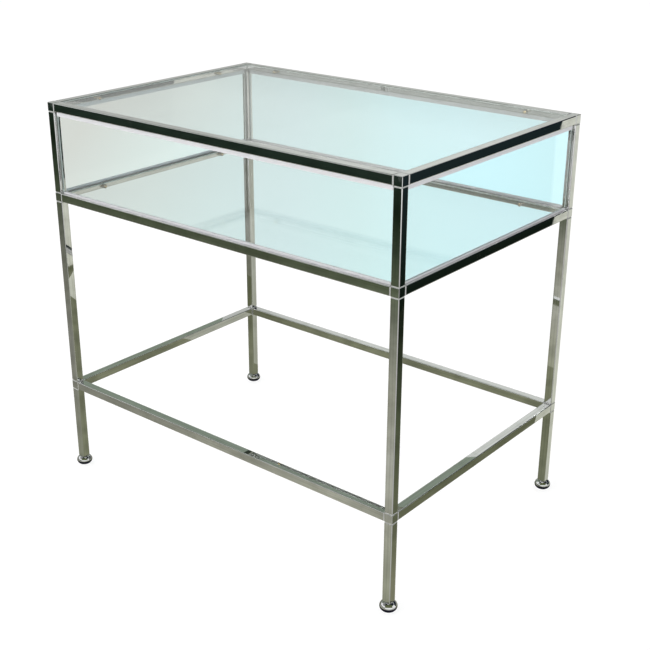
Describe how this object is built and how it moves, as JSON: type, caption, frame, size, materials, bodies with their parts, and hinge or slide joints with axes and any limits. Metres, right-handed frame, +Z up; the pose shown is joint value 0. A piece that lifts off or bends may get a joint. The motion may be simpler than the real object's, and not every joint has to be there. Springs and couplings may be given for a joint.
{
  "type": "glass display counter",
  "caption": "Chromed square-tube display counter on bun feet, with a shallow glazed box, a glass tray and a lift-out glass top.",
  "frame": {"origin": "on the floor, midway between the four feet", "axes": "+X to the right along the long side, -Y towards the front long side, +Z up"},
  "size_m": [1.0188, 0.6888, 0.944],
  "materials": {
    "tube_chrome": "polished chrome plate on square steel tube",
    "connector_chrome": "polished chrome plate on cast connectors",
    "foot_chrome": "mirror chrome plate on turned feet",
    "stud_steel": "zinc-plated threaded steel",
    "clear_glass": "clear float glass with ground arrises",
    "channel_satin": "satin anodised aluminium channel"
  },
  "bodies": {
    "frame": {"top_rail_front": "tube_chrome", "tray_rail_front": "tube_chrome", "stretcher_front": "tube_chrome", "top_channel_front": "channel_satin", "tray_channel_front": "channel_satin", "front_pane": "clear_glass", "top_rail_right": "tube_chrome", "tray_rail_right": "tube_chrome", "stretcher_right": "tube_chrome", "top_channel_right": "channel_satin", "tray_channel_right": "channel_satin", "right_pane": "clear_glass", "top_rail_back": "tube_chrome", "tray_rail_back": "tube_chrome", "stretcher_back": "tube_chrome", "top_channel_back": "channel_satin", "tray_channel_back": "channel_satin", "back_pane": "clear_glass", "top_rail_left": "tube_chrome", "tray_rail_left": "tube_chrome", "stretcher_left": "tube_chrome", "top_channel_left": "channel_satin", "tray_channel_left": "channel_satin", "left_pane": "clear_glass", "top_connector_front_left": "connector_chrome", "tray_connector_front_left": "connector_chrome", "stretcher_connector_front_left": "connector_chrome", "upper_post_front_left": "tube_chrome", "middle_post_front_left": "tube_chrome", "leg_front_left": "tube_chrome", "top_connector_front_right": "connector_chrome", "tray_connector_front_right": "connector_chrome", "stretcher_connector_front_right": "connector_chrome", "upper_post_front_right": "tube_chrome", "middle_post_front_right": "tube_chrome", "leg_front_right": "tube_chrome", "top_connector_back_right": "connector_chrome", "tray_connector_back_right": "connector_chrome", "stretcher_connector_back_right": "connector_chrome", "upper_post_back_right": "tube_chrome", "middle_post_back_right": "tube_chrome", "leg_back_right": "tube_chrome", "top_connector_back_left": "connector_chrome", "tray_connector_back_left": "connector_chrome", "stretcher_connector_back_left": "connector_chrome", "upper_post_back_left": "tube_chrome", "middle_post_back_left": "tube_chrome", "leg_back_left": "tube_chrome", "tray_glass": "clear_glass"},
    "top_glass": {"top_glass": "clear_glass"},
    "stud_front_left": {"foot_stud_front_left": "stud_steel"},
    "foot_front_left": {"foot_front_left": "foot_chrome"},
    "stud_front_right": {"foot_stud_front_right": "stud_steel"},
    "foot_front_right": {"foot_front_right": "foot_chrome"},
    "stud_back_right": {"foot_stud_back_right": "stud_steel"},
    "foot_back_right": {"foot_back_right": "foot_chrome"},
    "stud_back_left": {"foot_stud_back_left": "stud_steel"},
    "foot_back_left": {"foot_back_left": "foot_chrome"}
  },
  "joints": [
    {"name": "top_glass_lift", "type": "slide", "parent": "frame", "child": "top_glass", "axis": [0, 0, 1], "range_m": [0, 0.12]},
    {"name": "foot_drop_front_left", "type": "slide", "parent": "frame", "child": "stud_front_left", "axis": [0, 0, -1], "range_m": [0, 0.01]},
    {"name": "foot_turn_front_left", "type": "hinge", "parent": "stud_front_left", "child": "foot_front_left", "pos_m": [-0.49, -0.325, 0], "axis": [0, 0, -1], "range_deg": [0, 2880]},
    {"name": "foot_drop_front_right", "type": "slide", "parent": "frame", "child": "stud_front_right", "axis": [0, 0, -1], "range_m": [0, 0.01]},
    {"name": "foot_turn_front_right", "type": "hinge", "parent": "stud_front_right", "child": "foot_front_right", "pos_m": [0.49, -0.325, 0], "axis": [0, 0, -1], "range_deg": [0, 2880]},
    {"name": "foot_drop_back_right", "type": "slide", "parent": "frame", "child": "stud_back_right", "axis": [0, 0, -1], "range_m": [0, 0.01]},
    {"name": "foot_turn_back_right", "type": "hinge", "parent": "stud_back_right", "child": "foot_back_right", "pos_m": [0.49, 0.325, 0], "axis": [0, 0, -1], "range_deg": [0, 2880]},
    {"name": "foot_drop_back_left", "type": "slide", "parent": "frame", "child": "stud_back_left", "axis": [0, 0, -1], "range_m": [0, 0.01]},
    {"name": "foot_turn_back_left", "type": "hinge", "parent": "stud_back_left", "child": "foot_back_left", "pos_m": [-0.49, 0.325, 0], "axis": [0, 0, -1], "range_deg": [0, 2880]}
  ],
  "couplings": [
    {"joint": "foot_turn_front_left", "follows": "foot_drop_front_left", "rad_per_m": 5026.5},
    {"joint": "foot_turn_front_right", "follows": "foot_drop_front_right", "rad_per_m": 5026.5},
    {"joint": "foot_turn_back_right", "follows": "foot_drop_back_right", "rad_per_m": 5026.5},
    {"joint": "foot_turn_back_left", "follows": "foot_drop_back_left", "rad_per_m": 5026.5}
  ]
}
